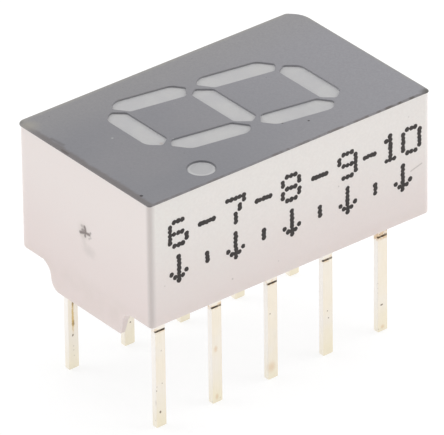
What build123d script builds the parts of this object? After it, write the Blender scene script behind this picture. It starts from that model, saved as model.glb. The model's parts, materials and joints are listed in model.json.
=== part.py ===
from build123d import *
import os
from math import tan, radians, atan2, degrees

# Single-digit seven segment display, 7.6 mm character, right-hand decimal point, ten leads.
# Millimetres, +Z up. Origin: centre of the lead pattern on the seating plane, which is the
# plane of the two stand-off tabs. +Y is the top of the digit, +X its right-hand side.
# Lead 1 is at (-X, +Y), by the bevelled corner; 1-5 run down -X, 6-10 run up +X.

# ---- body ----------------------------------------------------------------------------
body_w = 7.62            # X
body_l = 12.70           # Y
face_z = 6.03            # display face above the seating plane
coat_t = 0.07            # grey coat on the face, wrapped over the rim
rim_z = 1.00             # lower edge of the walls above the seating plane
wall_t = 0.50            # outer wall
corner_r = {(1, -1): 0.15, (-1, -1): 0.42, (1, 1): 0.24}   # three vertical edges, by side of X and Y
coat_corner_r = {(1, -1): 0.11, (-1, -1): 0.30, (1, 1): 0.15}   # the coat's corners are sharper
bevel_pin1 = 0.45        # bevelled vertical edge at lead 1
bevel_r = {-1: 0.25, 1: 0.90}   # rounding of the bevel where it meets the -X and the +Y wall
top_edge_r = 0.055       # rounding of the coat around the face
opening_edge_r = 0.02    # soft upper edge of each opening in the coat
rim_edge_r = 0.04        # rounding of the walls' lower outer edge
deck_z = 2.75            # underside of the reflector block
pocket_r = 0.30          # inner corner radius of the potting pocket

# ---- stand-off tabs on both end walls ---------------------------------------------------
tab_t = 0.34             # along Y at the rim, flush with the end face
tab_foot_t = 0.16        # along Y at the foot; the inner side slopes
tab_foot = 1.97          # half width at the seating plane
tab_waist = 2.06         # half width where the flank turns into the flare
tab_flare = 2.46         # half width at the rim
tab_foot_r = {-1: 0.46, 1: 0.08}   # rounding of the foot's corners, by side of X
tab_x = 0.09             # the tabs sit this much right of the middle
tab_waist_z = 0.45

# ---- gate mark on the -Y end face -----------------------------------------------------
gate_x, gate_z = 0.06, 3.28
gate_r = 0.34
gate_depth = 0.035

# ---- digit ---------------------------------------------------------------------------
slant = radians(10.0)
digit_x, digit_y = -0.08, 0.05     # digit centre on the face
seg_pitch = 3.43                   # bar centre to bar centre, across and down
# corners of each bar's opening from its centre in upright digit coordinates, anticlockwise from the
# left or lower tip; the printed openings differ a little from bar to bar
seg_corners = {
    "a": ((-1.42, -0.04), (-1.06, -0.46), (1.30, -0.46), (1.59, -0.02), (1.19, 0.46), (-1.09, 0.46)),
    "b": ((0.06, -1.475), (0.48, -1.11), (0.48, 1.17), (0.01, 1.485), (-0.45, 1.10), (-0.45, -1.14)),
    "c": ((-0.05, -1.50), (0.48, -1.05), (0.48, 1.28), (0.035, 1.57), (-0.46, 1.16), (-0.46, -1.23)),
    "d": ((-1.48, 0.01), (-1.10, -0.44), (1.19, -0.44), (1.50, 0.02), (1.13, 0.45), (-1.19, 0.45)),
    "e": ((0.03, -1.52), (0.50, -1.12), (0.50, 1.09), (-0.04, 1.455), (-0.45, 1.115), (-0.45, -1.20)),
    "f": ((0.00, -1.59), (0.48, -1.18), (0.48, 1.23), (0.05, 1.52), (-0.455, 1.10), (-0.455, -1.29)),
    "g": ((-1.48, -0.09), (-1.17, -0.45), (1.26, -0.45), (1.59, 0.06), (1.28, 0.44), (-1.13, 0.44)),
}
seg_r = 0.13                       # rounding of the mitred tips
seg_r_in = 0.20                    # rounding of the corners inside the digit
seg_r_out = 0.50                   # rounding of the corners on the digit's outline
well_corner_r = 0.14
bar_shift = -0.03                  # horizontal bars sit this much left of the columns' middle
dp_x, dp_y, dp_r = 2.90, -3.31, 0.53

# ---- light cavities -----------------------------------------------------------------
well_top_z = 3.35                  # straight part around the die
well_half_l = 1.00
well_half_w = 0.52
well_tip = 0.30
dp_well_top_z = 3.25
dp_well_half_w = 0.34
dp_cone_r = 0.44

# ---- resin -----------------------------------------------------------------------------
resin_top_z = face_z - coat_t      # level with the underside of the coat
resin_back_z = 1.18                # back of the casting, inside the rim

# ---- lead frame --------------------------------------------------------------------------
lead_t = 0.25
lead_w = 0.46
row_x = 2.54                       # rows at +X and -X
pitch = 2.54
tip_z = -4.08                      # tips below the seating plane
strip_top_z = 2.60
bend_out_r = 0.35
bend_in_r = 0.10
tip_break = 0.05
lead_edge_r = 0.035                # rolled long edges of the exposed part
lead_edge_z = 1.35                 # the rounding ends inside the resin
groove_z0, groove_z1, groove_d = -0.09, -0.01, 0.03   # dam-bar trim line, outer side
spine_w = 0.40

# ---- dice, die attach and bond wires ----------------------------------------------------
die_w = 0.26
die_h = 0.18
attach_r = 0.165
attach_t = 0.02
wire_r = 0.018
ball_r = 0.040
ball_h = 0.030
loop_z = 3.02

os.makedirs("parts", exist_ok=True)
HW, HL = body_w / 2, body_l / 2
strip_bot_z = strip_top_z - lead_t


def save(shape, name):
    shape.label = name
    export_step(shape, f"parts/{name}.step")


def one(shape):
    """The single solid of a boolean result."""
    solids = shape.solids()
    assert len(solids) == 1, len(solids)
    return solids[0]


def prism(face, z0, z1):
    return extrude(Pos(0, 0, z0) * face, z1 - z0, dir=(0, 0, 1))


def outline(inset, r, bevel):
    """Body outline with three rounded corners and the bevel at lead 1."""
    w, l = HW - inset, HL - inset
    s = make_face(Polyline((-w, -l), (w, -l), (w, l), (-w, l), close=True))
    if bevel > 0:
        s = chamfer([v for v in s.vertices() if v.X < 0 and v.Y > 0], bevel)
        for (i, j), rad in r.items():
            s = fillet([v for v in s.vertices() if abs(v.X - i * w) < 1e-6 and abs(v.Y - j * l) < 1e-6], rad)
        s = fillet([v for v in s.vertices() if abs(v.X + w) < 1e-6 and abs(v.Y - l + bevel) < 1e-6], bevel_r[-1])
        s = fillet([v for v in s.vertices() if abs(v.X + w - bevel) < 1e-6 and abs(v.Y - l) < 1e-6], bevel_r[1])
    else:
        s = fillet(s.vertices(), r)
    return s


def on_digit(u, v):
    """Upright digit coordinates to the slanted digit on the face."""
    return (digit_x + u + v * tan(slant), digit_y + v)


# bar centres in upright digit coordinates
bars = {
    "a": (bar_shift, seg_pitch, "h"), "g": (bar_shift, 0, "h"), "d": (bar_shift, -seg_pitch, "h"),
    "f": (-seg_pitch / 2, seg_pitch / 2, "v"), "b": (seg_pitch / 2, seg_pitch / 2, "v"),
    "e": (-seg_pitch / 2, -seg_pitch / 2, "v"), "c": (seg_pitch / 2, -seg_pitch / 2, "v"),
}


def bar_face(name, corners, radii):
    """Six-sided bar with mitred ends, slanted. radii: tips, corners inside the digit, corners on its outline."""
    u0, v0, _ = bars[name]
    pts = [(u0 + u, v0 + v) for u, v in corners]
    s = make_face(Polyline(*[on_digit(u, v) for u, v in pts], close=True))
    for k, (u, v) in enumerate(pts):
        outer = {"a": v > v0, "d": v < v0, "e": u < u0, "f": u < u0, "b": u > u0, "c": u > u0, "g": False}[name]
        r = radii[0] if k in (0, 3) else radii[2] if outer else radii[1]
        x, y = on_digit(u, v)
        s = fillet([p for p in s.vertices() if abs(p.X - x) < 1e-6 and abs(p.Y - y) < 1e-6], r)
    return s


def seg_opening(name):
    return bar_face(name, seg_corners[name], (seg_r, seg_r_in, seg_r_out))


def well_face(name):
    l, w, t = well_half_l, well_half_w, well_tip
    corners = [(-l, 0), (-l + t, -w), (l - t, -w), (l, 0), (l - t, w), (-l + t, w)]
    if bars[name][2] == "v":
        corners = [(0, -l), (w, -l + t), (w, l - t), (0, l), (-w, l - t), (-w, -l + t)]
    return bar_face(name, corners, (well_corner_r,) * 3)


# ---- die places, and the pads that their wires land on ---------------------------------
die_at = {n: on_digit(bars[n][0], bars[n][1]) for n in bars}
die_at["dp"] = (2.76, -3.37)
pad_at = {
    "a": (die_at["a"][0] + 0.68, die_at["a"][1]),
    "b": (die_at["b"][0] + 0.12, die_at["b"][1] + 0.68),
    "c": (die_at["c"][0] + 0.10, die_at["c"][1] + 0.66),
    "d": (die_at["d"][0] - 0.68, die_at["d"][1]),
    "e": (die_at["e"][0] - 0.12, die_at["e"][1] - 0.68),
    "f": (die_at["f"][0] + 0.10, die_at["f"][1] + 0.68),
    "g": (die_at["g"][0] - 0.68, die_at["g"][1]),
    "dp": (2.22, -2.83),
}

# ---- cavity tools, shared by the body and the resin ---------------------------------
coat_bot_z = face_z - coat_t


def cavity(name, top):
    """Well and tapered light guide of one bar, up to height `top`."""
    well = prism(well_face(name), deck_z - 0.30, well_top_z)
    guide = loft([Pos(0, 0, well_top_z) * well_face(name), Pos(0, 0, coat_bot_z) * seg_opening(name)], ruled=True)
    if top < coat_bot_z:
        guide -= Pos(0, 0, top + 1) * Box(20, 20, 2)
    return well + guide


def dp_cavity(top):
    dx, dy = pad_at["dp"][0] - die_at["dp"][0], pad_at["dp"][1] - die_at["dp"][1]
    mid = ((pad_at["dp"][0] + die_at["dp"][0]) / 2, (pad_at["dp"][1] + die_at["dp"][1]) / 2)
    run = (dx * dx + dy * dy) ** 0.5
    slot = Pos(mid[0], mid[1], 0) * Rot(0, 0, degrees(atan2(dy, dx))) * SlotCenterToCenter(run, 2 * dp_well_half_w)
    well = prism(slot, deck_z - 0.30, dp_well_top_z)
    low = Pos(dp_x - 0.06, dp_y, dp_well_top_z - 0.02) * Circle(dp_cone_r)
    high = Pos(dp_x, dp_y, coat_bot_z) * Circle(dp_r)
    guide = loft([low, high], ruled=True)
    if top < coat_bot_z:
        guide -= Pos(0, 0, top + 1) * Box(20, 20, 2)
    return well + guide


pocket_face = outline(wall_t, pocket_r, 0)
pocket = prism(pocket_face, -2, deck_z)

# ---- housing ----------------------------------------------------------------------------
housing = prism(outline(0, corner_r, bevel_pin1), rim_z, coat_bot_z)
housing = fillet([e for e in housing.edges() if e.center().Z < rim_z + 1e-6], rim_edge_r)

for side in (-1, 1):
    # tab outline in X-Z: foot with rounded corners, short flank, concave flare into the rim
    tab = Polyline((-tab_flare, rim_z), (-tab_flare, rim_z + 0.2), (tab_flare, rim_z + 0.2), (tab_flare, rim_z))
    right = ThreePointArc((tab_flare, rim_z),
                          (tab_waist + 0.115, rim_z - 0.20),
                          (tab_waist, tab_waist_z))
    left = ThreePointArc((-tab_flare, rim_z),
                         (-tab_waist - 0.115, rim_z - 0.20),
                         (-tab_waist, tab_waist_z))
    foot = Polyline((tab_waist, tab_waist_z), (tab_foot, 0), (-tab_foot, 0), (-tab_waist, tab_waist_z))
    prof = make_face(tab + right + foot + left)
    for i in (-1, 1):
        prof = fillet([v for v in prof.vertices() if abs(v.Y) < 1e-6 and v.X * i > 0], tab_foot_r[i])
    t = extrude(Plane.XZ * prof, tab_t)               # runs from Y = 0 to Y = -tab_t
    # inner side slopes from the foot up to the rim
    cut = make_face(Polyline((tab_foot_t, -0.5), (tab_t + 1, -0.5), (tab_t + 1, rim_z), (tab_t, rim_z),
                             (tab_foot_t, 0), close=True))
    t = Pos(tab_x, -HL + tab_t, 0) * t - Pos(0, -HL, 0) * extrude(Plane.YZ * cut, 5, both=True)
    if side > 0:
        t = mirror(t, about=Plane.XZ)
    housing += t

housing -= pocket
for n in bars:
    housing -= cavity(n, 99)
housing -= dp_cavity(99)

# shallow round gate mark on the -Y end face
R_g = (gate_r ** 2 + gate_depth ** 2) / (2 * gate_depth)
housing -= Pos(gate_x, -HL - R_g + gate_depth, gate_z) * Sphere(R_g)
housing = one(housing)

# ---- grey coat on the face --------------------------------------------------------------
coat = prism(outline(0, coat_corner_r, bevel_pin1), coat_bot_z, face_z)
coat = fillet([e for e in coat.edges() if e.center().Z > face_z - 1e-6], top_edge_r)
for n in bars:
    coat -= prism(seg_opening(n), coat_bot_z - 0.1, face_z + 0.1)
coat -= Pos(dp_x, dp_y, face_z) * Cylinder(dp_r, 1)
inside = [e for e in coat.edges() if abs(e.center().Z - face_z) < 1e-6
          and abs(e.center().X) < HW - 0.3 and abs(e.center().Y) < HL - 0.3]
coat = one(fillet(inside, opening_edge_r))

# ---- lead frame --------------------------------------------------------------------------


def rect(x0, x1, y0, y1):
    return make_face(Polyline((x0, y0), (x1, y0), (x1, y1), (x0, y1), close=True))


def leg(sx, y):
    """Lead from its strip, over the bend, down to the tip; sx is the row's side."""
    xo, xi = row_x + lead_t / 2, row_x - lead_t / 2
    k = 1 - 2 ** -0.5
    a = Polyline((1.95, strip_bot_z), (1.95, strip_top_z), (xo - bend_out_r, strip_top_z))
    b = ThreePointArc((xo - bend_out_r, strip_top_z), (xo - k * bend_out_r, strip_top_z - k * bend_out_r),
                      (xo, strip_top_z - bend_out_r))
    c = Polyline((xo, strip_top_z - bend_out_r), (xo, lead_edge_z), (xi, lead_edge_z), (xi, strip_bot_z - bend_in_r))
    d = ThreePointArc((xi, strip_bot_z - bend_in_r), (xi - k * bend_in_r, strip_bot_z - k * bend_in_r),
                      (xi - bend_in_r, strip_bot_z))
    e = Line((xi - bend_in_r, strip_bot_z), (1.95, strip_bot_z))
    s = extrude(Plane.XZ * make_face(a + b + c + d + e), lead_w / 2, both=True)
    section = RectangleRounded(lead_t, lead_w, lead_edge_r)
    tip = RectangleRounded(lead_t - 2 * tip_break, lead_w - 2 * tip_break, lead_edge_r / 2)
    s += Pos(row_x, 0, tip_z + tip_break) * extrude(section, lead_edge_z - tip_z - tip_break)
    s += loft([Pos(row_x, 0, tip_z) * tip, Pos(row_x, 0, tip_z + tip_break) * section], ruled=True)
    s -= Pos(xo, 0, (groove_z0 + groove_z1) / 2) * Box(2 * groove_d, lead_w + 1, groove_z1 - groove_z0)
    if sx < 0:
        s = Rot(0, 0, 180) * s
    return Pos(0, y, 0) * s


def frame_piece(legs, faces):
    s = None
    for f in faces:
        p = prism(f, strip_bot_z, strip_top_z)
        s = p if s is None else s + p
    for sx, y in legs:
        s += leg(sx, y)
    return one(s)


h = lead_w / 2
sp = spine_w / 2


def spine_x(y):
    return digit_x + (y - digit_y) * tan(slant)


xa, ya = die_at["a"]
xb, yb = die_at["b"]
xc, yc = die_at["c"]
xd, yd = die_at["d"]
xe, ye = die_at["e"]
xf, yf = die_at["f"]
xg, yg = die_at["g"]

# common lead: leads 1 and 6 joined by a slanted spine, with one paddle per die
top_y, low_y = 2 * pitch, -2 * pitch
spine = make_face(Polyline((spine_x(low_y - h) - sp, low_y - h), (spine_x(low_y - h) + sp, low_y - h),
                           (spine_x(ya) + sp, ya), (xa + sp, top_y + h), (xa - sp, top_y + h),
                           (spine_x(ya) - sp, ya), close=True))
lead_common = frame_piece(
    [(-1, top_y), (1, low_y)],
    [spine,
     rect(xg - 0.22, xg + 0.22, yg - sp, yg + sp),
     rect(xa - 0.22, xa + 0.22, ya - sp, ya + sp),
     rect(-2.2, xa, top_y - h, top_y + h),
     rect(spine_x(low_y), 2.2, low_y - h, low_y + h),
     rect(xf - 0.22, spine_x(yf), yf - sp, yf + sp),
     rect(spine_x(yb), xb + 0.22, yb - sp, yb + sp),
     rect(xe - 0.22, spine_x(ye), ye - sp, ye + sp),
     rect(spine_x(yc), xc + 0.22, yc - sp, yc + sp),
     rect(1.62, 2.02, low_y, die_at["dp"][1] + sp),
     rect(1.62, die_at["dp"][0] + 0.22, die_at["dp"][1] - sp, die_at["dp"][1] + sp)])

pa, pb, pc, pd, pe, pf, pg, pdp = (pad_at[k] for k in ("a", "b", "c", "d", "e", "f", "g", "dp"))
lead_a = frame_piece([(1, 2 * pitch)], [rect(pa[0] - 0.12, 2.2, 2 * pitch - h, 2 * pitch + h),
                                        rect(pa[0] - 0.12, pa[0] + 0.28, pa[1] - sp, 2 * pitch + h)])
lead_b = frame_piece([(1, pitch)], [rect(pb[0] - 0.25, 2.2, pb[1] - 0.12, pitch + h)])
lead_c = frame_piece([(1, 0)], [rect(pc[0] - 0.20, 2.2, -h, h),
                                rect(pc[0] - 0.20, pc[0] + 0.20, pc[1] - 0.12, h)])
lead_d = frame_piece([(-1, -2 * pitch)], [rect(-2.2, -1.62, -2 * pitch - h, -2 * pitch + h),
                                          rect(-2.02, -1.62, -2 * pitch - h, pd[1] + sp),
                                          rect(-2.02, pd[0] + 0.12, pd[1] - sp, pd[1] + sp)])
lead_e = frame_piece([(-1, -pitch)], [rect(-2.45, pe[0] + 0.25, -pitch - h, pe[1] + 0.12)])
lead_f = frame_piece([(-1, pitch)], [rect(-2.2, pf[0] + 0.25, pf[1] - 0.12, pitch + h)])
lead_g = frame_piece([(-1, 0)], [rect(-2.2, pg[0] + 0.12, -h, h)])
lead_dp = frame_piece([(1, -pitch)], [rect(pdp[0] - 0.20, 2.2, pdp[1] - 0.12, -pitch + h)])
leads = {"common": lead_common, "a": lead_a, "b": lead_b, "c": lead_c, "d": lead_d,
         "e": lead_e, "f": lead_f, "g": lead_g, "dp": lead_dp}

# ---- dice, die attach, wires -------------------------------------------------------------
die_bot_z = strip_top_z + attach_t
die_top_z = die_bot_z + die_h
inner = {}
for n in ("a", "b", "c", "d", "e", "f", "g", "dp"):
    x, y = die_at[n]
    px, py = pad_at[n]
    die = Pos(x, y, die_bot_z + die_h / 2) * Box(die_w, die_w, die_h)
    inner[f"die_{n}"] = die
    inner[f"attach_{n}"] = Pos(x, y, strip_top_z + attach_t / 2) * Cylinder(attach_r, attach_t)
    # bond wire: ball on the die, loop, flat stitch on the pad
    z0 = die_top_z + ball_h / 2
    z1 = strip_top_z + wire_r
    path = Spline((x, y, z0), (x + 0.16 * (px - x), y + 0.16 * (py - y), loop_z - 0.01),
                  (x + 0.36 * (px - x), y + 0.36 * (py - y), loop_z - 0.01),
                  (x + 0.78 * (px - x), y + 0.78 * (py - y), strip_top_z + 0.16), (px, py, z1),
                  tangents=((0, 0, 1), (px - x, py - y, -0.25)))
    wire = sweep(Plane(origin=path @ 0, z_dir=path % 0) * Circle(wire_r), path)
    wire += Pos(x, y, die_top_z + ball_h / 2) * Cylinder(ball_r, ball_h)
    wire += Pos(px, py, strip_top_z + 0.012) * Cylinder(ball_r, 0.024)
    inner[f"wire_{n}"] = one(wire)

# ---- resin: back casting and the eight light guides, one piece ---------------------------
resin = prism(pocket_face, resin_back_z, deck_z)
for n in bars:
    resin += cavity(n, resin_top_z)
resin += dp_cavity(resin_top_z)
for s in list(leads.values()) + list(inner.values()):
    resin -= s
resin = one(resin)

save(housing, "housing")
save(coat, "face_coat")
save(resin, "epoxy_fill")
for n, s in leads.items():
    save(s, f"lead_{n}")
for n, s in inner.items():
    save(s, n)
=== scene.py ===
import bpy, bmesh, json, math
import numpy as np
from mathutils import Matrix, Vector


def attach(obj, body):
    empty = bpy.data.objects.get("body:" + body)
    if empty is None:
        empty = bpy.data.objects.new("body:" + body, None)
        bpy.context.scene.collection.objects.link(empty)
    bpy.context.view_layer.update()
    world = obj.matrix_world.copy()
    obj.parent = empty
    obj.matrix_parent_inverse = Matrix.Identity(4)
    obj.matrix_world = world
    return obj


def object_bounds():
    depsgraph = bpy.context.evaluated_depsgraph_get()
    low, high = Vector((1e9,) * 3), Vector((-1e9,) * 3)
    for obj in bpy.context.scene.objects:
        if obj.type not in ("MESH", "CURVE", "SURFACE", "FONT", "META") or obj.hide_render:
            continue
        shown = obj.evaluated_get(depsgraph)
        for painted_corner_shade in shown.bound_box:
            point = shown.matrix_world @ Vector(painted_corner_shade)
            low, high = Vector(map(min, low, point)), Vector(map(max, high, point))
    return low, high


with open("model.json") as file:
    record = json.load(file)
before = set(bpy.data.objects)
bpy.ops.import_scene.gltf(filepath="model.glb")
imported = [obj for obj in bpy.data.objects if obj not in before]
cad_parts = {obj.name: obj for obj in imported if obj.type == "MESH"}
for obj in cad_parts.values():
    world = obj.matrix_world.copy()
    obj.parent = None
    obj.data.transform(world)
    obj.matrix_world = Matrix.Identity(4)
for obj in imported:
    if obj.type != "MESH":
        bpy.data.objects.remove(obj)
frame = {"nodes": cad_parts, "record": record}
cad_lo, cad_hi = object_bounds()
nodes = frame["nodes"]
MM = 0.001

# ======================================================================================
# camera: viewing angle of the photograph, long lens
# ======================================================================================
scene = bpy.context.scene
az, el, roll = math.radians(51.85483), math.radians(30.77678), math.radians(-0.76844)
dist = 0.291162
target = Vector((0.70326, -0.69818, 2.00906)) * MM
d = Vector((math.sin(az) * math.cos(el), -math.cos(az) * math.cos(el), math.sin(el)))
x0 = Vector((0, 0, 1)).cross(d).normalized()
y0 = d.cross(x0)
c, s = math.cos(roll), math.sin(roll)
cx, cy = x0 * c + y0 * s, y0 * c - x0 * s
cam = bpy.data.objects.new("camera", bpy.data.cameras.new("camera"))
scene.collection.objects.link(cam)
cam.matrix_world = Matrix(((cx.x, cy.x, d.x, 0), (cx.y, cy.y, d.y, 0), (cx.z, cy.z, d.z, 0), (0, 0, 0, 1)))
cam.location = target + d * dist
cam.data.sensor_fit = "HORIZONTAL"
cam.data.sensor_width = 36.0
cam.data.lens = 36.0 * 8187.79 / 444
cam.data.clip_start, cam.data.clip_end = 0.01, 10.0
scene.camera = cam
scene.view_settings.view_transform = "Standard"
scene.view_settings.look = "None"


# ======================================================================================
# node helpers
# ======================================================================================
class Tree:
    """A material's node tree, with short calls for the nodes used below."""

    def __init__(self, name, **base):
        self.mat = bpy.data.materials.new(name)
        self.mat.use_nodes = True
        self.t = self.mat.node_tree
        self.t.nodes.clear()
        self.out = self.t.nodes.new("ShaderNodeOutputMaterial")
        self.bsdf = self.t.nodes.new("ShaderNodeBsdfPrincipled")
        self.t.links.new(self.bsdf.outputs[0], self.out.inputs["Surface"])
        for k, v in base.items():
            self.bsdf.inputs[k.replace("_", " ")].default_value = v
        tc = self.t.nodes.new("ShaderNodeTexCoord")
        scale = self.t.nodes.new("ShaderNodeVectorMath")
        scale.operation = "SCALE"
        scale.inputs["Scale"].default_value = 1000.0
        self.t.links.new(tc.outputs["Object"], scale.inputs[0])
        self.p = scale.outputs[0]                      # position in millimetres
        sep = self.t.nodes.new("ShaderNodeSeparateXYZ")
        self.t.links.new(self.p, sep.inputs[0])
        self.x, self.y, self.z = sep.outputs
        sep = self.t.nodes.new("ShaderNodeSeparateXYZ")
        self.t.links.new(tc.outputs["Normal"], sep.inputs[0])
        self.nx, self.ny, self.nz = sep.outputs

    def put(self, sock, v):
        if isinstance(v, bpy.types.NodeSocket):
            self.t.links.new(v, sock)
        else:
            sock.default_value = v

    def math(self, op, a, b=0.0, c=0.0, clamp=False):
        n = self.t.nodes.new("ShaderNodeMath")
        n.operation, n.use_clamp = op, clamp
        for i, v in enumerate((a, b, c)):
            self.put(n.inputs[i], v)
        return n.outputs[0]

    def vec(self, op, a, b=(0, 0, 0)):
        n = self.t.nodes.new("ShaderNodeVectorMath")
        n.operation = op
        self.put(n.inputs[0], a)
        self.put(n.inputs[1], b)
        return n

    def noise(self, scale, detail=3.0, rough=0.5, stretch=(1, 1, 1), offset=(0, 0, 0), distort=0.0):
        m = self.t.nodes.new("ShaderNodeMapping")
        m.inputs["Scale"].default_value = stretch
        m.inputs["Location"].default_value = offset
        self.t.links.new(self.p, m.inputs[0])
        n = self.t.nodes.new("ShaderNodeTexNoise")
        n.inputs["Scale"].default_value = scale
        n.inputs["Detail"].default_value = detail
        n.inputs["Roughness"].default_value = rough
        n.inputs["Distortion"].default_value = distort
        self.t.links.new(m.outputs[0], n.inputs["Vector"])
        return n.outputs["Fac"]

    def voronoi(self, scale, feature="F1", stretch=(1, 1, 1)):
        m = self.t.nodes.new("ShaderNodeMapping")
        m.inputs["Scale"].default_value = stretch
        self.t.links.new(self.p, m.inputs[0])
        n = self.t.nodes.new("ShaderNodeTexVoronoi")
        n.feature = feature
        n.inputs["Scale"].default_value = scale
        self.t.links.new(m.outputs[0], n.inputs["Vector"])
        return n.outputs["Distance"]

    def step(self, v, lo, hi, a=0.0, b=1.0, smooth=True):
        """v mapped from lo..hi to a..b, clamped."""
        n = self.t.nodes.new("ShaderNodeMapRange")
        n.interpolation_type = "SMOOTHSTEP" if smooth else "LINEAR"
        self.put(n.inputs["Value"], v)
        n.inputs["From Min"].default_value = lo
        n.inputs["From Max"].default_value = hi
        n.inputs["To Min"].default_value = a
        n.inputs["To Max"].default_value = b
        return n.outputs[0]

    def mix(self, f, a, b, mode="MIX"):
        n = self.t.nodes.new("ShaderNodeMix")
        n.data_type, n.blend_type = "RGBA", mode
        ins = [i for i in n.inputs if i.enabled]
        self.put(ins[0], f)
        for sock, v in ((ins[1], a), (ins[2], b)):
            self.put(sock, tuple(v) + (1.0,) if isinstance(v, tuple) and len(v) == 3 else v)
        return [o for o in n.outputs if o.enabled][0]

    def spot(self, at, r, soft=0.5, stretch=(1, 1, 1), wobble=None):
        """1 inside a spot of radius r (mm) about a point, 0 outside; soft is the share of r that fades."""
        rel = self.vec("SUBTRACT", self.p, at).outputs[0]
        rel = self.vec("MULTIPLY", rel, stretch).outputs[0]
        n = self.t.nodes.new("ShaderNodeVectorMath")
        n.operation = "LENGTH"
        self.t.links.new(rel, n.inputs[0])
        dist_ = n.outputs["Value"]
        if wobble is not None:
            dist_ = self.math("ADD", dist_, wobble)
        return self.step(dist_, r * (1 - soft), r, 1.0, 0.0)

    def capsule(self, a, b, r, soft=0.6, wobble=None):
        """1 near the line from a to b (mm), 0 further than r from it."""
        a, b = Vector(a), Vector(b)
        along = (b - a).normalized()
        rel = self.vec("SUBTRACT", self.p, tuple(a)).outputs[0]
        dot_ = self.t.nodes.new("ShaderNodeVectorMath")
        dot_.operation = "DOT_PRODUCT"
        self.t.links.new(rel, dot_.inputs[0])
        dot_.inputs[1].default_value = along
        t = self.step(dot_.outputs["Value"], 0.0, (b - a).length, 0.0, (b - a).length, smooth=False)
        foot = self.t.nodes.new("ShaderNodeVectorMath")
        foot.operation = "SCALE"
        foot.inputs[0].default_value = along
        self.t.links.new(t, foot.inputs["Scale"])
        off = self.vec("SUBTRACT", rel, foot.outputs[0]).outputs[0]
        n = self.t.nodes.new("ShaderNodeVectorMath")
        n.operation = "LENGTH"
        self.t.links.new(off, n.inputs[0])
        dist_ = n.outputs["Value"]
        if wobble is not None:
            dist_ = self.math("ADD", dist_, wobble)
        return self.step(dist_, r * (1 - soft), r, 1.0, 0.0)

    def most(self, *vs):
        out = vs[0]
        for v in vs[1:]:
            out = self.math("MAXIMUM", out, v)
        return out

    def color(self, v):
        self.put(self.bsdf.inputs["Base Color"], v)

    def rough(self, v):
        self.put(self.bsdf.inputs["Roughness"], v)

    def bump(self, height, strength=0.3, distance=0.01):
        """distance in millimetres"""
        n = self.t.nodes.new("ShaderNodeBump")
        n.inputs["Strength"].default_value = strength
        n.inputs["Distance"].default_value = distance * MM
        self.t.links.new(height, n.inputs["Height"])
        self.t.links.new(n.outputs[0], self.bsdf.inputs["Normal"])


def srgb(r, g, b):
    return tuple(((v / 255 + 0.055) / 1.055) ** 2.4 if v > 10.3 else v / 255 / 12.92 for v in (r, g, b))


# ======================================================================================
# materials
# ======================================================================================
# arms of the torn gate on the -Y wall: (x, z) in mm of both ends, half width, depth of stain
SCAR = [((0.085, 3.27), (0.06, 3.47), 0.098, 1.0), ((0.07, 3.23), (-0.185, 3.15), 0.100, 1.0),
        ((0.05, 3.30), (-0.075, 3.27), 0.120, 0.85), ((0.07, 3.24), (0.066, 3.10), 0.090, 1.0),
        ((0.10, 3.23), (0.345, 3.27), 0.092, 1.0), ((0.348, 3.28), (0.410, 3.38), 0.072, 0.75),
        ((0.01, 3.43), (-0.10, 3.44), 0.110, 0.45), ((0.31, 3.09), (0.43, 3.19), 0.058, 0.35)]


def torn(m):
    """Grey stain along the arms of the torn gate."""
    wob = m.math("MULTIPLY", m.math("SUBTRACT", m.noise(9.0, 4.0, 0.65), 0.5), 0.06)
    flat = m.spot((0.01, -6.35, 3.33), 0.19, 0.8, (1, 0, 1), wob)
    return m.most(m.math("MULTIPLY", flat, 0.45),
                  *[m.math("MULTIPLY", m.capsule((a[0], -6.34, a[1]), (b[0], -6.34, b[1]), r, 0.8, wob), k)
                    for a, b, r, k in SCAR])


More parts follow.
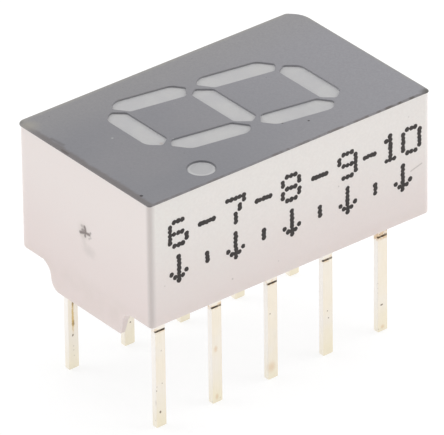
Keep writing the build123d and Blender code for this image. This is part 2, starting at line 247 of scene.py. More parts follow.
def white_moulding():
    m = Tree("white_moulding", Subsurface_Weight=0.12, Subsurface_Scale=0.0004, IOR=1.49)
    m.bsdf.inputs["Subsurface Radius"].default_value = (1.0, 0.85, 0.75)
    broad = m.step(m.noise(0.35, 2.0, 0.5), 0.35, 0.65)
    col = m.mix(broad, srgb(235, 230, 226), srgb(233, 230, 225))
    fine = m.step(m.noise(9.0, 4.0, 0.6, offset=(3, 1, 7)), 0.3, 0.7)
    col = m.mix(fine, col, srgb(231, 226, 222))
    # the moulding is a little pinker on the end walls
    end = m.step(m.math("ABSOLUTE", m.y), 6.20, 6.34)
    col = m.mix(m.math("MULTIPLY", end, 0.8), col, srgb(232, 222, 219))
    # painted shade: the walls are duller, pinker towards the rim
    low = m.step(m.math("ADD", m.z, m.math("MULTIPLY", m.math("SUBTRACT", m.noise(0.5, 2.0), 0.5), 1.2)), 0.2, 5.2, 1.0, 0.0)
    col = m.mix(m.math("MULTIPLY", low, 0.80), col, srgb(225, 211, 208))
    # painted shade: the rounded upright corner nearest lead 6 is duller
    painted_corner_shade = m.math("MULTIPLY", m.step(m.x, 3.56, 3.70), m.step(m.y, -6.06, -6.24))
    col = m.mix(m.math("MULTIPLY", painted_corner_shade, 0.65), col, srgb(206, 198, 195))
    # painted shade: darker and blotchy towards the bottom of the walls
    painted_bottom_shade = m.step(m.z, 0.9, 1.7, 1.0, 0.0)
    painted_bottom_shade = m.math("MULTIPLY", painted_bottom_shade, m.step(m.noise(1.8, 3.0, 0.55), 0.25, 0.8, 0.1, 0.45))
    col = m.mix(painted_bottom_shade, col, srgb(214, 203, 197))
    # faint handling marks on the long wall, one tick by the far upper corner
    side = m.step(m.x, 3.78, 3.80)
    marks = m.most(m.spot((3.81, -2.70, 1.68), 0.06, 0.8), m.spot((3.81, 2.13, 3.64), 0.05, 0.8),
                   m.capsule((3.81, 5.45, 3.02), (3.81, 5.95, 3.16), 0.05, 0.9), m.spot((3.81, 5.35, 5.29), 0.035, 0.6),
                   m.spot((3.81, -0.62, 1.62), 0.035, 0.8), m.spot((3.81, -5.72, 2.55), 0.04, 0.9))
    col = m.mix(m.math("MULTIPLY", m.math("MULTIPLY", marks, side), 0.45), col, srgb(150, 140, 136))
    # the torn gate's stain runs past its dish, with a grey smear below
    front = m.step(m.y, -6.28, -6.33)
    wob = m.math("MULTIPLY", m.math("SUBTRACT", m.noise(5.0, 3.0, 0.6), 0.5), 0.30)
    trail = m.most(m.spot((0.30, -6.35, 2.58), 0.46, 0.9, (0.85, 0, 1.3), wob),
                   m.math("MULTIPLY", m.capsule((-0.04, -6.35, 3.00), (0.08, -6.35, 2.72), 0.22, 0.9, wob), 0.8))
    col = m.mix(m.math("MULTIPLY", m.math("MULTIPLY", trail, front), 0.50), col, srgb(205, 196, 192))
    halo = m.spot((0.05, -6.35, 3.28), 0.50, 0.85, (1, 0, 1), wob)
    col = m.mix(m.math("MULTIPLY", m.math("MULTIPLY", halo, front), 0.35), col, srgb(208, 199, 194))
    col = m.mix(m.math("MULTIPLY", torn(m), front), col, srgb(146, 137, 134))
    m.color(col)
    m.rough(m.step(m.noise(14.0, 3.0, 0.6, offset=(5, 5, 5)), 0.3, 0.7, 0.46, 0.60))
    m.bump(m.math("ADD", m.noise(38.0, 3.0, 0.6), m.math("MULTIPLY", m.noise(6.0, 2.0), 0.8)), 0.35, 0.0025)
    return m.mat


def grey_coat():
    m = Tree("grey_coat", IOR=1.47)
    broad = m.step(m.noise(0.28, 2.0, 0.5, offset=(2, 9, 0)), 0.35, 0.65)
    col = m.mix(broad, srgb(136, 136, 141), srgb(141, 140, 144))
    # painted light: the face is lighter towards the far end, warmer towards the left edge
    col = m.mix(m.step(m.y, -5.0, 6.5, 0.0, 0.9), col, srgb(156, 155, 160))
    painted_left_light = m.step(m.x, -3.8, -1.0, 1.0, 0.0)
    col = m.mix(m.math("MULTIPLY", painted_left_light, 0.6), col, srgb(154, 152, 152))
    fine = m.step(m.noise(16.0, 4.0, 0.65, offset=(1, 4, 2)), 0.3, 0.7)
    col = m.mix(m.math("MULTIPLY", fine, 0.35), col, srgb(130, 130, 134))
    # thin, rubbed rim: darker, brownish band with a ragged inner limit
    rag = m.math("MULTIPLY", m.math("SUBTRACT", m.noise(2.2, 5.0, 0.65, offset=(0, 0, 3)), 0.5), 0.26)
    rag2 = m.math("MULTIPLY", m.math("SUBTRACT", m.noise(11.0, 4.0, 0.6), 0.5), 0.10)
    rag = m.math("ADD", rag, rag2)
    low = m.step(m.math("ADD", m.math("ADD", m.y, 6.35), rag), 0.10, 0.27, 1.0, 0.0)
    low_fade = m.step(m.x, -3.7, -2.2, 0.35, 1.0)
    right = m.step(m.math("ADD", m.math("SUBTRACT", 3.81, m.x), m.math("MULTIPLY", rag, 0.4)), 0.015, 0.075, 1.0, 0.0)
    broken = m.step(m.noise(2.6, 3.0, 0.65, stretch=(0.3, 1, 0.3), offset=(0, 2, 0)), 0.38, 0.62, 0.35, 1.0)
    right = m.math("MULTIPLY", m.math("MULTIPLY", right, broken), m.step(m.y, -6.0, 5.5, 0.7, 1.0))
    far = m.step(m.math("ADD", m.math("SUBTRACT", 6.35, m.y), m.math("MULTIPLY", rag, 0.5)), 0.03, 0.12, 1.0, 0.0)
    left = m.step(m.math("ADD", m.math("ADD", m.x, 3.81), m.math("MULTIPLY", rag, 0.5)), 0.03, 0.12, 1.0, 0.0)
    rim = m.most(m.math("MULTIPLY", m.math("MULTIPLY", low, low_fade), 0.75), right,
                 m.math("MULTIPLY", far, 0.3), m.math("MULTIPLY", left, 0.3))
    col = m.mix(rim, col, srgb(116, 110, 109))
    # the far right-hand corner is the darkest, with a chipped line along the wall
    chip = m.most(m.spot((3.80, 6.28, 6.03), 0.34, 0.8, (1, 0.7, 0), rag), m.math("MULTIPLY", right, m.step(m.y, 3.2, 5.6, 0.0, 0.9)))
    col = m.mix(m.math("MULTIPLY", chip, 0.75), col, srgb(84, 80, 74))
    nick = m.most(m.capsule((-1.20, -6.31, 6.03), (-0.85, -6.31, 6.03), 0.07, 0.7),
                  m.math("MULTIPLY", m.capsule((-2.05, -6.12, 6.03), (-1.45, -6.06, 6.03), 0.12, 0.95), 0.7))
    col = m.mix(m.math("MULTIPLY", nick, 0.6), col, srgb(92, 84, 82))
    # rubbed patch at the near left corner
    worn = m.spot((-3.30, -6.15, 6.03), 0.60, 0.9, (1, 1.3, 0), m.math("MULTIPLY", rag, 1.5))
    col = m.mix(m.math("MULTIPLY", worn, 0.60), col, srgb(166, 161, 151))
    tip = m.spot((-3.78, -6.30, 6.03), 0.26, 0.8, (1, 1, 0), rag)
    col = m.mix(m.math("MULTIPLY", tip, 0.8), col, srgb(104, 104, 101))
    # painted highlight: a pale line along the left and far edges of the grey face
    painted_edge_highlight = m.step(m.math("ADD", m.math("ADD", m.x, 3.81), m.math("MULTIPLY", rag, 0.8)), 0.05, 0.22, 1.0, 0.0)
    painted_edge_highlight = m.most(painted_edge_highlight, m.step(m.math("ADD", m.math("SUBTRACT", 6.35, m.y), m.math("MULTIPLY", rag, 0.8)), 0.03, 0.14, 1.0, 0.0))
    col = m.mix(m.math("MULTIPLY", m.math("MULTIPLY", painted_edge_highlight, m.step(m.z, 6.0, 6.02)), 0.45), col, srgb(171, 169, 160))
    # pinholes and specks
    dark = m.most(m.spot((3.07, -6.11, 6.03), 0.075, 0.35), m.spot((2.74, 1.65, 6.03), 0.055, 0.5),
                  m.spot((2.275, 0.83, 6.03), 0.055, 0.6))
    col = m.mix(m.math("MULTIPLY", dark, 0.9), col, srgb(52, 46, 48))
    dots = m.voronoi(2.3)
    few = m.step(m.noise(1.1, 1.0, offset=(7, 7, 7)), 0.60, 0.64)
    tiny = m.math("MULTIPLY", m.step(dots, 0.045, 0.07, 1.0, 0.0), few)
    col = m.mix(m.math("MULTIPLY", tiny, 0.5), col, srgb(104, 101, 102))
    light = m.most(m.spot((-0.72, -4.44, 6.03), 0.055, 0.6), m.spot((0.66, -2.80, 6.03), 0.04, 0.9))
    col = m.mix(m.math("MULTIPLY", light, 0.75), col, srgb(186, 188, 190))
    m.color(col)
    m.rough(m.step(m.noise(10.0, 3.0, 0.6), 0.3, 0.7, 0.50, 0.64))
    m.bump(m.math("ADD", m.noise(24.0, 4.0, 0.6), m.math("MULTIPLY", m.noise(3.5, 2.0), 1.2)), 0.45, 0.004)
    return m.mat


def milky_resin():
    m = Tree("clear_milky_resin", Subsurface_Weight=0.25, Subsurface_Scale=0.0005, IOR=1.52, Coat_Weight=0.0)
    m.bsdf.inputs["Subsurface Radius"].default_value = (1.0, 0.95, 0.9)
    cloud = m.step(m.noise(1.4, 3.0, 0.55), 0.3, 0.7)
    col = m.mix(cloud, srgb(193, 192, 193), srgb(200, 199, 198))
    # fine diffuser grain
    grain = m.step(m.noise(22.0, 5.0, 0.7, offset=(4, 2, 8)), 0.3, 0.7)
    col = m.mix(m.math("MULTIPLY", grain, 0.5), col, srgb(187, 187, 190))
    beads = m.step(m.voronoi(9.0), 0.05, 0.22, 1.0, 0.0)
    col = m.mix(m.math("MULTIPLY", beads, 0.18), col, srgb(214, 214, 216))
    # the point is a shade darker than the bars; a stain at the end of the lowest bar
    top = m.step(m.z, 5.6, 5.8)
    point = m.math("MULTIPLY", m.spot((2.90, -3.31, 6.0), 0.75, 0.3, (1, 1, 0)), top)
    col = m.mix(m.math("MULTIPLY", point, 0.55), col, srgb(172, 172, 175))
    # painted highlight: a lighter crescent along the near edge of the point
    ring = m.math("SUBTRACT", m.spot((2.90, -3.31, 6.0), 0.60, 0.1, (1, 1, 0)), m.spot((2.86, -3.27, 6.0), 0.46, 0.22, (1, 1, 0)))
    ring = m.math("MULTIPLY", m.math("MAXIMUM", ring, 0.0), top)
    col = m.mix(m.math("MULTIPLY", ring, 0.8), col, srgb(206, 206, 206))
    # ink has run a little way in over the point's edge
    wob = m.math("MULTIPLY", m.math("SUBTRACT", m.noise(4.0, 2.0, 0.5), 0.5), 0.03)
    lip = m.math("SUBTRACT", m.spot((2.90, -3.31, 6.0), 0.80, 0.2, (1, 1, 0)), m.spot((2.90, -3.31, 6.0), 0.502, 0.06, (1, 1, 0), wob))
    lip = m.math("MULTIPLY", m.math("MAXIMUM", lip, 0.0), top)
    col = m.mix(m.math("MULTIPLY", lip, 0.9), col, srgb(143, 143, 147))
    stain = m.math("MULTIPLY", m.spot((0.58, -3.27, 5.96), 0.11, 0.8, (1, 1, 0)), top)
    col = m.mix(m.math("MULTIPLY", stain, 0.45), col, srgb(176, 160, 152))
    speck = m.math("MULTIPLY", m.spot((2.275, 0.83, 5.96), 0.055, 0.6, (1, 1, 0)), top)
    col = m.mix(m.math("MULTIPLY", speck, 0.9), col, srgb(60, 54, 54))
    m.color(col)
    m.rough(m.step(m.noise(7.0, 3.0, 0.5), 0.3, 0.7, 0.34, 0.48))
    m.bump(m.math("ADD", m.noise(18.0, 4.0, 0.65), m.math("MULTIPLY", m.noise(2.4, 2.0), 1.5)), 0.35, 0.004)
    return m.mat


def plated_lead():
    m = Tree("gold_plated_lead", Metallic=1.0)
    base = m.mix(m.step(m.noise(0.9, 2.0, 0.5, offset=(3, 3, 0)), 0.35, 0.65), srgb(240, 233, 222), srgb(241, 232, 216))
    # drawn lines along the strip
    lines = m.step(m.noise(9.0, 3.0, 0.6, stretch=(4, 4, 0.12)), 0.35, 0.65)
    col = m.mix(m.math("MULTIPLY", lines, 0.35), base, srgb(233, 226, 210))
    # thicker, yellower plating towards the tips
    tip = m.step(m.math("ADD", m.z, m.math("MULTIPLY", m.math("SUBTRACT", m.noise(1.3, 3.0, 0.6), 0.5), 1.6)), -4.2, -2.4, 1.0, 0.0)
    col = m.mix(m.math("MULTIPLY", tip, 0.7), col, srgb(238, 229, 203))
    # painted reflection: the sheared long edges (the faces turned to ±Y) are whiter, above all near the body
    side = m.step(m.math("ABSOLUTE", m.ny), 0.45, 0.8)
    side = m.math("MULTIPLY", side, m.step(m.z, -4.0, -1.5, 0.35, 0.8))
    col = m.mix(side, col, srgb(246, 243, 240))
    # so is the strip between the trim line and the resin, with golden stains
    above = m.step(m.z, -0.01, 0.10)
    col = m.mix(m.math("MULTIPLY", above, 0.5), col, srgb(244, 240, 234))
    blot = m.step(m.noise(6.5, 4.0, 0.65, offset=(0, 3, 1)), 0.46, 0.62)
    border = m.math("MULTIPLY", m.step(m.z, -0.19, -0.11), m.step(m.z, 0.02, 0.12, 1.0, 0.0))
    col = m.mix(m.math("MULTIPLY", m.math("MULTIPLY", border, blot), 0.6), col, srgb(222, 190, 148))
    # lead 10 is stained most
    last = m.math("MULTIPLY", m.step(m.y, 4.6, 4.8), m.step(m.x, 2.3, 2.5))
    gold = m.math("MULTIPLY", m.math("MULTIPLY", last, m.step(m.z, -0.25, -0.12)), m.step(m.noise(9.0, 4.0, 0.7, offset=(1, 1, 8)), 0.36, 0.56))
    col = m.mix(m.math("MULTIPLY", gold, 0.75), col, srgb(208, 176, 134))
    fleck = m.math("MULTIPLY", last, m.math("MULTIPLY", m.step(m.z, -0.10, 0.0), m.step(m.voronoi(9.0), 0.16, 0.30, 1.0, 0.0)))
    col = m.mix(m.math("MULTIPLY", fleck, 0.6), col, srgb(122, 100, 74))
    # bare cut metal in the trim line, broken along its length
    cut = m.math("MULTIPLY", m.step(m.z, -0.100, -0.085), m.step(m.z, -0.018, -0.004, 1.0, 0.0))
    cut = m.math("MULTIPLY", cut, m.step(m.math("ABSOLUTE", m.x), 2.60, 2.64))
    worn = m.step(m.noise(3.4, 3.0, 0.6, stretch=(1, 1, 0.3), offset=(0, 6, 0)), 0.36, 0.56, 0.55, 1.0)
    col = m.mix(m.math("MULTIPLY", m.math("MULTIPLY", cut, worn), 0.95), col, srgb(66, 54, 44))
    # pores, smears and brown patches
    wob = m.math("MULTIPLY", m.math("SUBTRACT", m.noise(16.0, 3.0, 0.6), 0.5), 0.06)
    o, i = 2.665, -2.415
    dark = m.most(m.spot((o, -5.13, -3.43), 0.05, 0.5, (1, 1, 0.8), wob),
                  m.spot((o, 5.03, -2.93), 0.055, 0.5, (1, 0.8, 1.3), wob),
                  m.spot((o, -0.12, -1.31), 0.035, 0.6), m.spot((o, 2.51, -2.21), 0.030, 0.6),
                  m.spot((o, 2.56, -2.52), 0.035, 0.6), m.spot((o, -5.03, -2.27), 0.028, 0.7),
                  m.spot((o, -5.28, -2.50), 0.03, 0.7),
                  m.spot((i, -5.09, -2.15), 0.075, 0.6, (1, 1, 0.45), wob),
                  m.spot((i, -5.09, -1.34), 0.05, 0.6, (1, 1, 0.3), wob),
                  m.spot((i, -5.11, -2.65), 0.05, 0.6, (1, 1, 0.7), wob),
                  m.spot((i, -2.51, -3.12), 0.045, 0.6), m.spot((i, -2.70, -3.10), 0.03, 0.6))
    col = m.mix(m.math("MULTIPLY", dark, 0.8), col, srgb(92, 76, 58))
    grey = m.most(m.spot((o, -5.05, -0.91), 0.05, 0.8, (1, 1, 1), wob),
                  m.spot((o, 4.86, -1.98), 0.04, 0.8), m.spot((o, 4.85, -2.18), 0.04, 0.8),
                  m.spot((o, 4.85, -2.38), 0.04, 0.8), m.spot((o, -5.33, -3.0), 0.09, 0.9, (1, 1.6, 0.4), wob),
                  m.spot((o, -5.26, -2.34), 0.04, 0.8), m.spot((o, 2.24, -3.62), 0.04, 0.8),
                  m.spot((i, -2.59, -2.88), 0.10, 0.9, (1, 1, 1), wob),
                  m.spot((i, -5.09, -3.11), 0.04, 0.8), m.spot((i, -5.09, -3.28), 0.04, 0.8),
                  m.spot((i, -5.07, -3.52), 0.04, 0.8))
    col = m.mix(m.math("MULTIPLY", grey, 0.45), col, srgb(168, 160, 152))
    brown = m.most(m.spot((o, -2.57, -3.81), 0.14, 0.8, (1, 1.3, 0.8), wob),
                   m.spot((o, 5.07, -3.87), 0.12, 0.8, (1, 1, 1), wob),
                   m.spot((o, -0.07, -3.55), 0.26, 0.9, (1, 1, 0.8), wob),
                   m.spot((o, -2.60, -1.80), 0.12, 0.9, (1, 1, 0.6), wob))
    col = m.mix(m.math("MULTIPLY", brown, 0.40), col, srgb(214, 176, 132))
    # painted reflection: rear lead 5 is near white towards the body
    painted_rear_wash = m.math("MULTIPLY", m.step(m.x, -2.2, -2.4), m.step(m.y, -4.0, -3.6))
    painted_rear_wash = m.math("MULTIPLY", painted_rear_wash, m.step(m.z, -1.8, -0.6))
    col = m.mix(m.math("MULTIPLY", painted_rear_wash, 0.8), col, srgb(250, 249, 246))
    smudge = m.most(m.spot((2.64, -2.79, -3.98), 0.07, 0.9), m.spot((2.64, -2.42, -3.90), 0.06, 0.9),
                    m.spot((2.60, -5.30, -3.75), 0.05, 0.9), m.spot((2.66, 4.88, -3.92), 0.06, 0.9))
    col = m.mix(m.math("MULTIPLY", smudge, 0.45), col, srgb(186, 180, 170))
    streak = m.math("MULTIPLY", m.spot((i, -5.10, -1.9), 0.075, 0.8, (1, 1, 0.08), wob), 0.8)
    col = m.mix(streak, col, srgb(205, 170, 92))
    pores = m.math("MULTIPLY", m.step(m.voronoi(6.5), 0.05, 0.11, 1.0, 0.0), m.step(m.noise(2.0, 2.0, offset=(9, 0, 0)), 0.52, 0.60))
    col = m.mix(m.math("MULTIPLY", pores, 0.35), col, srgb(196, 180, 156))
    m.color(col)
    m.rough(m.step(m.noise(5.0, 4.0, 0.65, stretch=(1, 1, 0.4)), 0.3, 0.7, 0.30, 0.46))
    m.bump(m.math("ADD", m.noise(12.0, 3.0, 0.6, stretch=(3, 3, 0.2)), m.math("MULTIPLY", m.noise(1.6, 2.0), 2.0)), 0.5, 0.005)
    return m.mat


def led_die():
    m = Tree("led_die", Metallic=0.15, IOR=2.4)
    col = m.mix(m.step(m.noise(20.0, 3.0), 0.3, 0.7), srgb(150, 118, 72), srgb(118, 88, 52))
    saw = m.step(m.noise(30.0, 3.0, 0.6, stretch=(0.2, 0.2, 6)), 0.3, 0.7)
    col = m.mix(m.math("MULTIPLY", saw, 0.4), col, srgb(92, 70, 44))
    m.color(col)
    m.rough(m.step(m.noise(25.0, 3.0), 0.3, 0.7, 0.25, 0.45))
    m.bump(m.noise(40.0, 3.0, 0.6, stretch=(0.3, 0.3, 4)), 0.4, 0.002)
    return m.mat


def die_attach():
    m = Tree("die_attach", Metallic=0.6)
    col = m.mix(m.step(m.noise(40.0, 4.0, 0.7), 0.3, 0.7), srgb(176, 176, 178), srgb(138, 138, 141))
    m.color(col)
    m.rough(m.step(m.noise(30.0, 3.0), 0.3, 0.7, 0.45, 0.7))
    m.bump(m.noise(60.0, 4.0, 0.7), 0.6, 0.003)
    return m.mat


def bond_wire():
    m = Tree("bond_wire", Metallic=1.0)
    col = m.mix(m.step(m.noise(15.0, 3.0), 0.3, 0.7), srgb(244, 204, 118), srgb(230, 184, 96))
    m.color(col)
    m.rough(m.step(m.noise(20.0, 3.0), 0.3, 0.7, 0.18, 0.32))
    m.bump(m.noise(50.0, 2.0), 0.2, 0.001)
    return m.mat


def marking_ink():
    m = Tree("marking_ink", IOR=1.45)
    col = m.mix(m.step(m.noise(3.0, 4.0, 0.6), 0.3, 0.7), srgb(43, 38, 37), srgb(56, 50, 48))
    thin = m.step(m.noise(26.0, 4.0, 0.7, offset=(2, 2, 2)), 0.55, 0.8)
    col = m.mix(m.math("MULTIPLY", thin, 0.35), col, srgb(84, 76, 72))
    m.color(col)
    m.rough(m.step(m.noise(18.0, 3.0), 0.3, 0.7, 0.50, 0.72))
    m.bump(m.noise(30.0, 3.0, 0.6), 0.4, 0.003)
    return m.mat


def gate_scar():
    m = Tree("gate_scar", IOR=1.49)
    spots = m.most(m.spot((0.31, -6.33, 3.07), 0.07, 0.8), m.spot((0.45, -6.33, 3.20), 0.06, 0.8))
    col = m.mix(m.math("MULTIPLY", spots, 0.45), srgb(226, 217, 213), srgb(190, 170, 168))
    col = m.mix(torn(m), col, srgb(142, 132, 129))
    m.color(col)
    m.rough(m.step(m.noise(18.0, 3.0), 0.3, 0.7, 0.6, 0.8))
    m.bump(m.noise(16.0, 4.0, 0.65), 0.6, 0.01)
    return m.mat


made = {"white_moulding": white_moulding(), "grey_coat": grey_coat(), "clear_milky_resin": milky_resin(),
        "gold_plated_lead": plated_lead(), "led_die": led_die(), "die_attach": die_attach(), "bond_wire": bond_wire()}
for part in frame["record"]["subparts"]:
    o = nodes[part["node"]]
    o.data.materials.clear()
    o.data.materials.append(made[part["material_slot"]])


def piece(name, verts, faces, mat, slot, smooth=True):
    me = bpy.data.meshes.new(name)
    me.from_pydata(verts, [], faces)
    me.validate()
    me.update()
    if smooth:
        me.shade_smooth()
    me.materials.append(mat)
    o = bpy.data.objects.new(name, me)
    scene.collection.objects.link(o)
    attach(o, "root")
    return o


# ======================================================================================
# ink marking on the +X wall: plain lead numbers and a tick scale, printed as dots
# ======================================================================================
FONT = {
    "0": ("01110", "10001", "10001", "10001", "10001", "10001", "01110"),
    "1": ("00100", "01100", "00100", "00100", "00100", "00100", "01110"),
    "6": ("01110", "10000", "10000", "11110", "10001", "10001", "01110"),
    "7": ("11111", "00001", "00010", "00010", "00100", "00100", "00100"),
    "8": ("01110", "10001", "10001", "01110", "10001", "10001", "01110"),
    "9": ("01110", "10001", "10001", "01111", "00001", "00001", "01110"),
}
rng = np.random.default_rng(7)
COL, ROW, DOT = 0.185, 0.160, 0.100
tilt = math.tan(math.radians(-0.85))
dots = []                                  # (y, z, radius) in mm


def dot(y, z, r=DOT):
    dots.append((y + rng.normal(0, 0.007), z + y * tilt + rng.normal(0, 0.007), r * (1 + rng.normal(0, 0.05))))


def char(ch, y, z):
    """Character centred on y with its lowest row at z."""
    jy, jz = rng.normal(0, 0.02), rng.normal(0, 0.012)
    for i, line in enumerate(FONT[ch]):
        for j, on in enumerate(line):
            if on == "1":
                dot(y + jy + (j - 2) * COL, z + jz + (6 - i) * ROW)


PITCH = 2.54
z1, z2 = 3.93, 2.48
for n, y in ((("6",), -2), (("7",), -1), (("8",), 0), (("9",), 1), (("1", "0"), 2)):
    y *= PITCH
    for k, ch in enumerate(n):
        char(ch, y - 0.10 * (len(n) - 1) + (k - (len(n) - 1) / 2) * 0.98, z1)
for k in (-1.5, -0.5, 0.5, 1.40):
    w = 5 if k < 1 else 4
    for j in range(w):
        dot(k * PITCH + (j - (w - 1) / 2) * 0.15, z1 + 3 * ROW)
# arrows down to the leads, with short ticks between them
for k in range(-4, 5):
    y = k * PITCH / 2
    if k % 2 == 0:
        for i in range(7):
            dot(y, z2 + i * ROW)
        for i, j in ((1, 1), (1, -1), (2, 2), (2, -2)):
            dot(y + j * 0.165, z2 + i * ROW)
    else:
        for i in range(3):
            dot(y, z2 + (i + 2) * ROW)


def ink_mesh(dots, step, wall, height):
    """Closed thin solid of the union of the dots: marching squares, domed at the edges."""
    dots = np.array(dots)
    verts, faces, index = [], [], {}
    gy0, gz0 = dots[:, 0].min() - 0.2, dots[:, 1].min() - 0.2
    ny = int((dots[:, 0].max() + 0.2 - gy0) / step) + 2
    nz = int((dots[:, 1].max() + 0.2 - gz0) / step) + 2
    f = np.full((ny, nz), 1.0)
    gy, gz = gy0 + np.arange(ny) * step, gz0 + np.arange(nz) * step
    for y, z, r in dots:
        a, b = max(int((y - 0.25 - gy0) / step), 0), int((y + 0.25 - gy0) / step) + 2
        e, g = max(int((z - 0.25 - gz0) / step), 0), int((z + 0.25 - gz0) / step) + 2
        dd = np.hypot(gy[a:b, None] - y, gz[None, e:g] - z) - r
        # soft union, so that neighbouring dots run together
        old = f[a:b, e:g]
        k = 0.03
        h = np.clip(0.5 + 0.5 * (old - dd) / k, 0, 1)
        f[a:b, e:g] = old * (1 - h) + dd * h - k * h * (1 - h)
    ripple = np.sin(gy[:, None] * 61) * np.sin(gz[None, :] * 47) * 0.006 + np.sin(gy[:, None] * 23 + gz[None, :] * 31) * 0.004
    f = f + ripple
    f[np.abs(f) < 1e-4] = 1e-4

    def vert(key, y, z, h):
        if key not in index:
            index[key] = len(verts)
            verts.append((wall + h, y, z))
        return index[key]

    def lift(v):
        t = min(max(-v / 0.035, 0.0), 1.0)
        return height * (0.25 + 0.75 * math.sqrt(t * (2 - t)))

    def grid(i, j):
        return vert(("g", i, j), gy[i], gz[j], lift(f[i, j]))

    def cut(i0, j0, i1, j1):
        if (i1, j1) < (i0, j0):
            i0, j0, i1, j1 = i1, j1, i0, j0
        t = f[i0, j0] / (f[i0, j0] - f[i1, j1])
        return vert(("e", i0, j0, i1, j1), gy[i0] + t * (gy[i1] - gy[i0]), gz[j0] + t * (gz[j1] - gz[j0]), lift(0))

    inside = f < 0
    rims = {}
    cells = np.argwhere(inside[:-1, :-1] | inside[1:, :-1] | inside[:-1, 1:] | inside[1:, 1:])
    for i, j in cells:
        cs = [(i, j), (i + 1, j), (i + 1, j + 1), (i, j + 1)]
        poly, marks = [], []
        for k in range(4):
            p, q = cs[k], cs[(k + 1) % 4]
            if inside[p]:
                poly.append(grid(*p)); marks.append(False)
            if inside[p] != inside[q]:
                poly.append(cut(*p, *q)); marks.append(True)
        inn = [inside[p] for p in cs]
        if sum(inn) == 2 and inn[0] == inn[2]:          # saddle: two corner triangles
            for k in range(4):
                if inn[k]:
                    a, b = cs[k], cs[(k + 1) % 4]
                    z_ = cs[k - 1]
                    u, v = cut(*a, *b), cut(*z_, *a)
                    faces.append((grid(*a), u, v))
                    rims[u] = v
            continue
        if len(poly) < 3:
            continue
        faces.append(tuple(poly))
        n = len(poly)
        for k in range(n):
            if marks[k] and marks[(k + 1) % n]:
                rims[poly[k]] = poly[(k + 1) % n]
    top = list(faces)
    base = len(verts)
    verts.extend([(wall - 0.004, v[1], v[2]) for v in verts[:base]])
    faces.extend([tuple(base + v for v in reversed(p)) for p in top])
    faces.extend([(b, a, base + a, base + b) for a, b in rims.items()])
    return [tuple(x * MM for x in v) for v in verts], faces


ink_mat = marking_ink()
groups = {"marking_numbers": [q for q in dots if q[1] > 3.7 - 0.0], "marking_ticks": [q for q in dots if q[1] <= 3.7]}
for name, group in groups.items():
    piece(name, *ink_mesh(group, 0.017, 3.81, 0.010), ink_mat, "white_moulding")


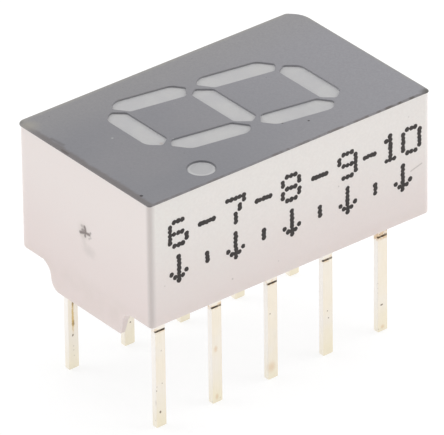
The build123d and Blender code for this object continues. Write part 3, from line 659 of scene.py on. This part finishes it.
# ======================================================================================
# torn gate on the -Y wall: a low ragged scar in the shallow dish
# ======================================================================================
def scar():
    """Thin ragged skin over the dish, raised along the arms of the tear."""
    g0 = np.random.default_rng(11)
    rings, segs = 22, 88
    cx_, cz_ = 0.06, 3.28
    depth, r_dish = 0.035, 0.34
    R = (r_dish ** 2 + depth ** 2) / (2 * depth)

    def dish(x, z):
        r = math.hypot(x - cx_, z - cz_)
        return -6.35 + max(0.0, math.sqrt(max(R * R - r * r, 0)) - (R - depth))

    def ridge(x, z):
        h = 0.0
        for (ax, az_), (bx, bz), _, _ in SCAR:
            t = ((x - ax) * (bx - ax) + (z - az_) * (bz - az_)) / ((bx - ax) ** 2 + (bz - az_) ** 2)
            t = min(max(t, 0.0), 1.0)
            q = math.hypot(x - ax - t * (bx - ax), z - az_ - t * (bz - az_))
            h = max(h, math.exp(-(q / 0.05) ** 2) * (1 - 0.5 * t))
        return h

    rough = g0.normal(0, 1, (rings + 1, segs))
    rough = sum(np.roll(rough, k, 1) for k in (-1, 0, 1)) / 3
    verts = [(cx_, dish(cx_, cz_) - 0.020, cz_)]
    for i in range(1, rings + 1):
        t = i / rings
        for j in range(segs):
            a = 2 * math.pi * j / segs
            edge = 0.325 + 0.008 * math.sin(5 * a + 1) + 0.006 * math.sin(9 * a)
            x, z = cx_ + t * edge * math.cos(a), cz_ + t * edge * math.sin(a)
            lift = 0.002 + 0.020 * ridge(x, z) + 0.0025 * rough[i, j]
            fade = min(1.0, (1 - t) * 5)
            y = dish(x, z) - max(lift, 0.0004) * fade + (0.003 if i == rings else 0.0)
            verts.append((x, max(y, -6.3492) if i < rings else y, z))
    faces = [(0, 1 + j, 1 + (j + 1) % segs) for j in range(segs)]
    for i in range(1, rings):
        for j in range(segs):
            a, b = 1 + (i - 1) * segs + j, 1 + (i - 1) * segs + (j + 1) % segs
            faces.append((a, a + segs, b + segs, b))
    n = len(verts)
    last = [1 + (rings - 1) * segs + j for j in range(segs)]
    verts.append((cx_, dish(cx_, cz_) + 0.01, cz_))
    faces.extend([(n, last[(j + 1) % segs], last[j]) for j in range(segs)])
    return [tuple(x * MM for x in v) for v in verts], faces


piece("gate_scar", *scar(), gate_scar(), "white_moulding")

# ======================================================================================
# floor, world and lights
# ======================================================================================
floor_z = cad_lo.z
fm = Tree("pale_floor", Roughness=0.8)
fm.color(fm.mix(fm.step(fm.noise(0.02, 2.0), 0.3, 0.7), (0.32, 0.32, 0.32), (0.30, 0.30, 0.30)))
fm.bsdf.inputs["Emission Color"].default_value = (1, 1, 1, 1)
fm.bsdf.inputs["Emission Strength"].default_value = 0.75
me = bpy.data.meshes.new("floor")
me.from_pydata([(-2, -2, floor_z), (2, -2, floor_z), (2, 2, floor_z), (-2, 2, floor_z)], [], [(0, 1, 2, 3)])
me.materials.append(fm.mat)
floor = bpy.data.objects.new("floor", me)
scene.collection.objects.link(floor)

world = bpy.data.worlds.new("studio")
scene.world = world
world.use_nodes = True
bg = world.node_tree.nodes["Background"]
bg.inputs["Color"].default_value = (1.0, 1.0, 1.0, 1)
bg.inputs["Strength"].default_value = 0.50


def softbox(name, azimuth, elevation, distance, size_x, size_y, power, colour=(1, 1, 1)):
    """Area light; azimuth and elevation as for the camera, aimed at the object."""
    a, e = math.radians(azimuth), math.radians(elevation)
    at = Vector((math.sin(a) * math.cos(e), -math.cos(a) * math.cos(e), math.sin(e))) * distance
    L = bpy.data.lights.new(name, "AREA")
    L.shape, L.size, L.size_y, L.energy, L.color = "RECTANGLE", size_x, size_y, power, colour
    o = bpy.data.objects.new(name, L)
    scene.collection.objects.link(o)
    o.location = at
    o.rotation_mode = "QUATERNION"
    o.rotation_quaternion = (-at).to_track_quat("-Z", "Y")
    o.visible_camera = False
    return o


softbox("top", 200, 78, 0.60, 0.60, 0.60, 1.17)
softbox("left", -48, 22, 0.60, 0.45, 0.45, 1.28)
softbox("right", 150, 22, 0.60, 0.45, 0.45, 1.28)
